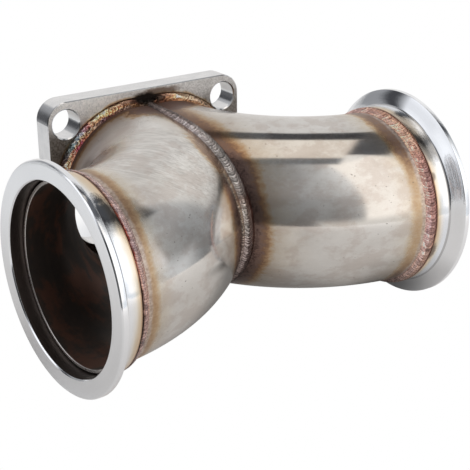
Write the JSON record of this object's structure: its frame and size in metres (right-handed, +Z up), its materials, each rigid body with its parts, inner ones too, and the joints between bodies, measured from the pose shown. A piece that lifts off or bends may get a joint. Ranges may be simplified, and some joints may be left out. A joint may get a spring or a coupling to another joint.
{
  "type": "turbo y-pipe",
  "caption": "Welded stainless Y-pipe: a rectangular four-bolt turbo flange feeding two tight mandrel bends that end in opposed V-band flanges.",
  "frame": {"origin": "centre of the turbo flange's bolt pattern, on its mating face", "axes": "+Y out of the turbo flange's mating face, X across the two outlets, +Z up with the outlets level"},
  "size_m": [0.1772, 0.1339, 0.0932],
  "materials": {
    "flange_plate": "blasted face, ground edges",
    "pipe": "satin brushed stainless, straw to purple-brown heat tint beside the welds",
    "v_band_ring": "bright turned stainless",
    "weld_bead": "rippled TIG bead with gold, copper and blue heat colours"
  },
  "bodies": {
    "root": {"turbo_flange": "flange_plate", "left_bend": "pipe", "right_bend": "pipe", "left_v_band_flange": "v_band_ring", "right_v_band_flange": "v_band_ring", "flange_weld": "weld_bead", "seam_weld": "weld_bead", "left_v_band_weld": "weld_bead", "right_v_band_weld": "weld_bead"}
  },
  "joints": []
}
